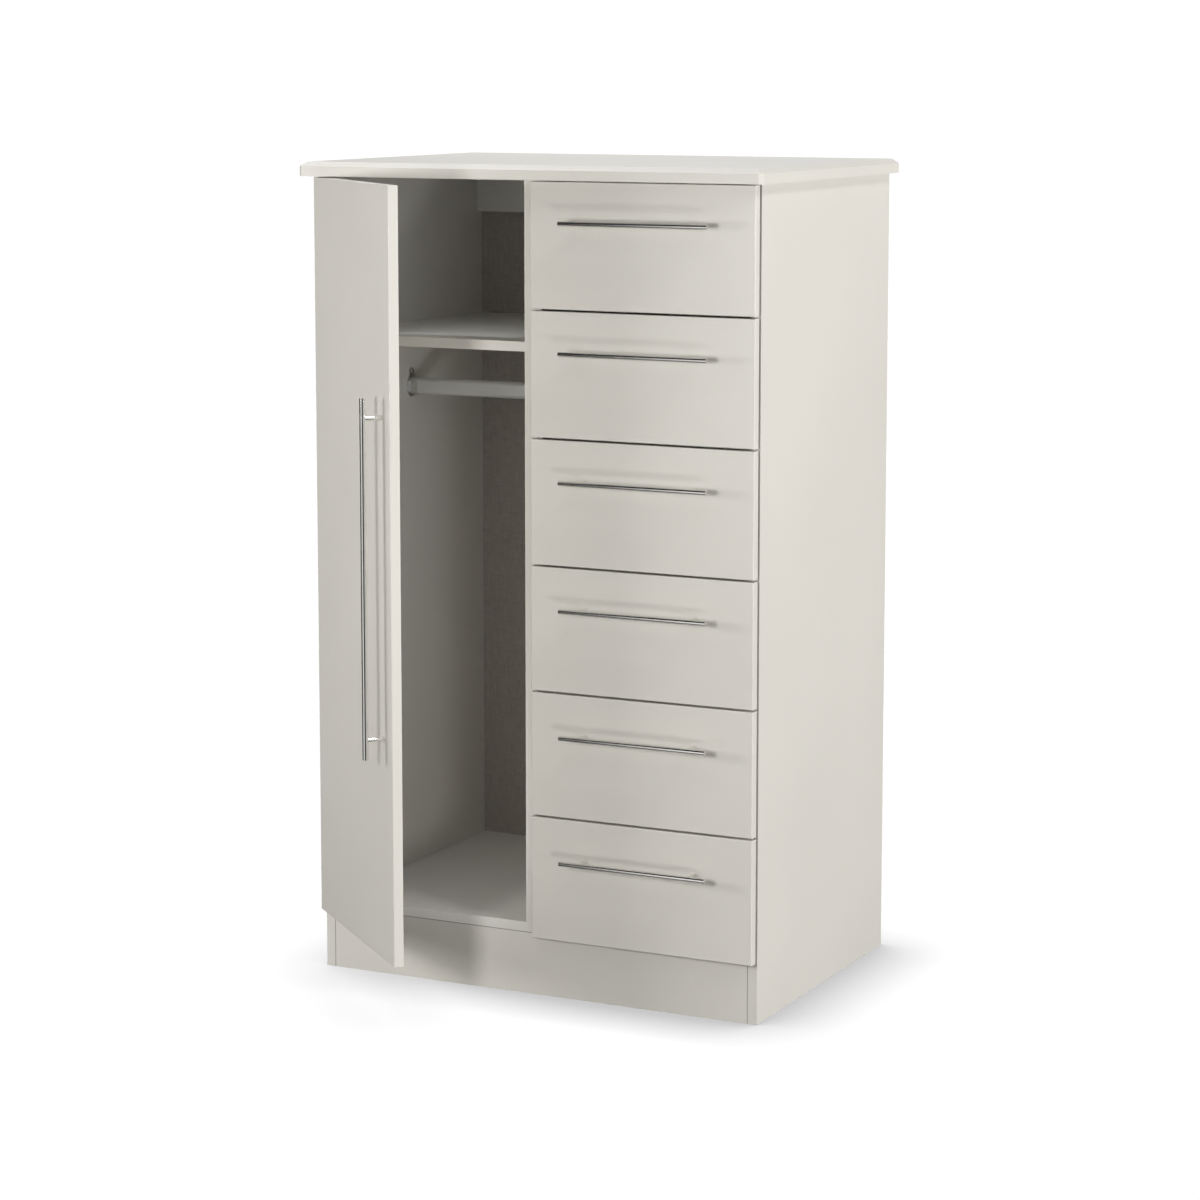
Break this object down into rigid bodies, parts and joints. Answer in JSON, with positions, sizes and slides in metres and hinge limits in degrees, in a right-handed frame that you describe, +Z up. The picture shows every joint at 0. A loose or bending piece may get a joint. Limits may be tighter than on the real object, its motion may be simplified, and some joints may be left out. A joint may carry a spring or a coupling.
{
  "type": "chifforobe",
  "caption": "Free-standing combination wardrobe: hanging bay with shelf and rail behind one hinged door, beside a full-height bay of drawers on roller runners.",
  "frame": {"origin": "centre of the underside of the plinth board, on the floor under the carcass's front edge", "axes": "+X to the right as seen from the front, +Y to the back (the fronts face -Y), +Z up"},
  "size_m": [0.774, 0.7637, 1.27],
  "materials": {
    "board": "satin greige melamine on particle board",
    "hardboard": "thin hardboard with a dark woven print",
    "handle_chrome": "polished chrome",
    "rail_steel": "dull zinc-plated oval tube",
    "fitting_steel": "nickel-plated pressed steel",
    "runner_enamel": "white stoved enamel on rolled steel",
    "roller_plastic": "white nylon"
  },
  "bodies": {
    "carcass": {"left_side_panel": "board", "right_side_panel": "board", "left_divider_panel": "board", "right_divider_panel": "board", "top_board": "board", "floor_panel": "board", "plinth": "board", "back_panel": "hardboard", "top_back_rail": "board", "shelf": "board", "hanging_rail": "rail_steel", "rail_brackets": "fitting_steel", "cabinet_runners": "runner_enamel", "hinge_arms": "fitting_steel"},
    "door": {"door": "board", "door_handle": "handle_chrome", "hinge_cups": "fitting_steel"},
    "drawer_1": {"drawer_1_front": "board", "drawer_1_box": "board", "drawer_1_base": "hardboard", "drawer_1_handle": "handle_chrome", "drawer_1_runners": "runner_enamel"},
    "drawer_1_front_rollers": {"drawer_1_front_rollers": "roller_plastic"},
    "drawer_1_rear_rollers": {"drawer_1_rear_rollers": "roller_plastic"},
    "drawer_2": {"drawer_2_front": "board", "drawer_2_box": "board", "drawer_2_base": "hardboard", "drawer_2_handle": "handle_chrome", "drawer_2_runners": "runner_enamel"},
    "drawer_2_front_rollers": {"drawer_2_front_rollers": "roller_plastic"},
    "drawer_2_rear_rollers": {"drawer_2_rear_rollers": "roller_plastic"},
    "drawer_3": {"drawer_3_front": "board", "drawer_3_box": "board", "drawer_3_base": "hardboard", "drawer_3_handle": "handle_chrome", "drawer_3_runners": "runner_enamel"},
    "drawer_3_front_rollers": {"drawer_3_front_rollers": "roller_plastic"},
    "drawer_3_rear_rollers": {"drawer_3_rear_rollers": "roller_plastic"},
    "drawer_4": {"drawer_4_front": "board", "drawer_4_box": "board", "drawer_4_base": "hardboard", "drawer_4_handle": "handle_chrome", "drawer_4_runners": "runner_enamel"},
    "drawer_4_front_rollers": {"drawer_4_front_rollers": "roller_plastic"},
    "drawer_4_rear_rollers": {"drawer_4_rear_rollers": "roller_plastic"},
    "drawer_5": {"drawer_5_front": "board", "drawer_5_box": "board", "drawer_5_base": "hardboard", "drawer_5_handle": "handle_chrome", "drawer_5_runners": "runner_enamel"},
    "drawer_5_front_rollers": {"drawer_5_front_rollers": "roller_plastic"},
    "drawer_5_rear_rollers": {"drawer_5_rear_rollers": "roller_plastic"},
    "drawer_6": {"drawer_6_front": "board", "drawer_6_box": "board", "drawer_6_base": "hardboard", "drawer_6_handle": "handle_chrome", "drawer_6_runners": "runner_enamel"},
    "drawer_6_front_rollers": {"drawer_6_front_rollers": "roller_plastic"},
    "drawer_6_rear_rollers": {"drawer_6_rear_rollers": "roller_plastic"}
  },
  "joints": [
    {"name": "door_hinge", "type": "hinge", "parent": "carcass", "child": "door", "pos_m": [-0.3629, -0.016, 0.67], "axis": [0, 0, -1], "range_deg": [-42, 53]},
    {"name": "drawer_1_slide", "type": "slide", "parent": "carcass", "child": "drawer_1", "axis": [0, -1, 0], "range_m": [0, 0.34]},
    {"name": "drawer_1_front_rollers_spin", "type": "hinge", "parent": "carcass", "child": "drawer_1_front_rollers", "pos_m": [0.1855, 0.0075, 1.094], "axis": [1, 0, 0], "continuous": true},
    {"name": "drawer_1_rear_rollers_spin", "type": "hinge", "parent": "drawer_1", "child": "drawer_1_rear_rollers", "pos_m": [0.1855, 0.4295, 1.094], "axis": [1, 0, 0], "continuous": true},
    {"name": "drawer_2_slide", "type": "slide", "parent": "carcass", "child": "drawer_2", "axis": [0, -1, 0], "range_m": [0, 0.34]},
    {"name": "drawer_2_front_rollers_spin", "type": "hinge", "parent": "carcass", "child": "drawer_2_front_rollers", "pos_m": [0.1855, 0.0075, 0.9015], "axis": [1, 0, 0], "continuous": true},
    {"name": "drawer_2_rear_rollers_spin", "type": "hinge", "parent": "drawer_2", "child": "drawer_2_rear_rollers", "pos_m": [0.1855, 0.4295, 0.9015], "axis": [1, 0, 0], "continuous": true},
    {"name": "drawer_3_slide", "type": "slide", "parent": "carcass", "child": "drawer_3", "axis": [0, -1, 0], "range_m": [0, 0.34]},
    {"name": "drawer_3_front_rollers_spin", "type": "hinge", "parent": "carcass", "child": "drawer_3_front_rollers", "pos_m": [0.1855, 0.0075, 0.709], "axis": [1, 0, 0], "continuous": true},
    {"name": "drawer_3_rear_rollers_spin", "type": "hinge", "parent": "drawer_3", "child": "drawer_3_rear_rollers", "pos_m": [0.1855, 0.4295, 0.709], "axis": [1, 0, 0], "continuous": true},
    {"name": "drawer_4_slide", "type": "slide", "parent": "carcass", "child": "drawer_4", "axis": [0, -1, 0], "range_m": [0, 0.34]},
    {"name": "drawer_4_front_rollers_spin", "type": "hinge", "parent": "carcass", "child": "drawer_4_front_rollers", "pos_m": [0.1855, 0.0075, 0.5165], "axis": [1, 0, 0], "continuous": true},
    {"name": "drawer_4_rear_rollers_spin", "type": "hinge", "parent": "drawer_4", "child": "drawer_4_rear_rollers", "pos_m": [0.1855, 0.4295, 0.5165], "axis": [1, 0, 0], "continuous": true},
    {"name": "drawer_5_slide", "type": "slide", "parent": "carcass", "child": "drawer_5", "axis": [0, -1, 0], "range_m": [0, 0.34]},
    {"name": "drawer_5_front_rollers_spin", "type": "hinge", "parent": "carcass", "child": "drawer_5_front_rollers", "pos_m": [0.1855, 0.0075, 0.324], "axis": [1, 0, 0], "continuous": true},
    {"name": "drawer_5_rear_rollers_spin", "type": "hinge", "parent": "drawer_5", "child": "drawer_5_rear_rollers", "pos_m": [0.1855, 0.4295, 0.324], "axis": [1, 0, 0], "continuous": true},
    {"name": "drawer_6_slide", "type": "slide", "parent": "carcass", "child": "drawer_6", "axis": [0, -1, 0], "range_m": [0, 0.34]},
    {"name": "drawer_6_front_rollers_spin", "type": "hinge", "parent": "carcass", "child": "drawer_6_front_rollers", "pos_m": [0.1855, 0.0075, 0.1315], "axis": [1, 0, 0], "continuous": true},
    {"name": "drawer_6_rear_rollers_spin", "type": "hinge", "parent": "drawer_6", "child": "drawer_6_rear_rollers", "pos_m": [0.1855, 0.4295, 0.1315], "axis": [1, 0, 0], "continuous": true}
  ],
  "couplings": [
    {"joint": "drawer_1_front_rollers_spin", "follows": "drawer_1_slide", "rad_per_m": 111.11},
    {"joint": "drawer_1_rear_rollers_spin", "follows": "drawer_1_slide", "rad_per_m": 111.11},
    {"joint": "drawer_2_front_rollers_spin", "follows": "drawer_2_slide", "rad_per_m": 111.11},
    {"joint": "drawer_2_rear_rollers_spin", "follows": "drawer_2_slide", "rad_per_m": 111.11},
    {"joint": "drawer_3_front_rollers_spin", "follows": "drawer_3_slide", "rad_per_m": 111.11},
    {"joint": "drawer_3_rear_rollers_spin", "follows": "drawer_3_slide", "rad_per_m": 111.11},
    {"joint": "drawer_4_front_rollers_spin", "follows": "drawer_4_slide", "rad_per_m": 111.11},
    {"joint": "drawer_4_rear_rollers_spin", "follows": "drawer_4_slide", "rad_per_m": 111.11},
    {"joint": "drawer_5_front_rollers_spin", "follows": "drawer_5_slide", "rad_per_m": 111.11},
    {"joint": "drawer_5_rear_rollers_spin", "follows": "drawer_5_slide", "rad_per_m": 111.11},
    {"joint": "drawer_6_front_rollers_spin", "follows": "drawer_6_slide", "rad_per_m": 111.11},
    {"joint": "drawer_6_rear_rollers_spin", "follows": "drawer_6_slide", "rad_per_m": 111.11}
  ]
}
